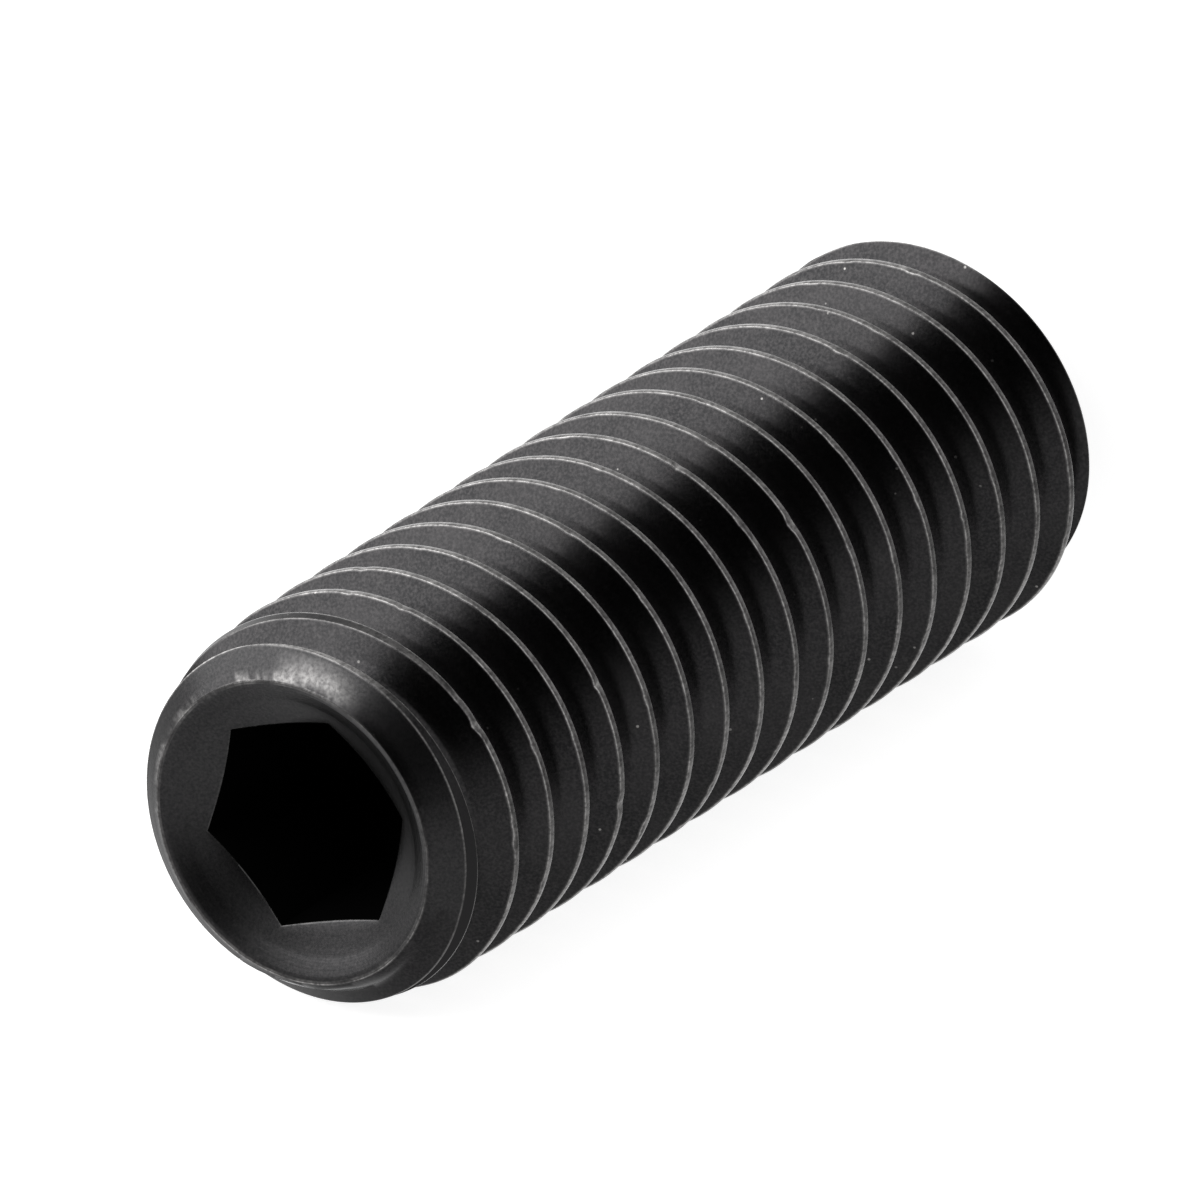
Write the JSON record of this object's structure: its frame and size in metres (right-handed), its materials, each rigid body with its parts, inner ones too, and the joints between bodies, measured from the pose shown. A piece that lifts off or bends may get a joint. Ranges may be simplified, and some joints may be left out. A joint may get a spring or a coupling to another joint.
{
  "type": "set screw",
  "caption": "Headless threaded screw with a hexagonal key socket in one end and a flat point at the other.",
  "frame": {"origin": "centre of the flat point, which is the face the screw stands on", "axes": "+Z along the screw's axis from the flat point to the socket end, +X through one corner of the hexagonal socket"},
  "size_m": [0.0126, 0.0126, 0.0381],
  "materials": {
    "black_oxide_steel": "satin black oxide, rubbed lighter along the crests and the rim"
  },
  "bodies": {
    "root": {"screw": "black_oxide_steel"}
  },
  "joints": []
}
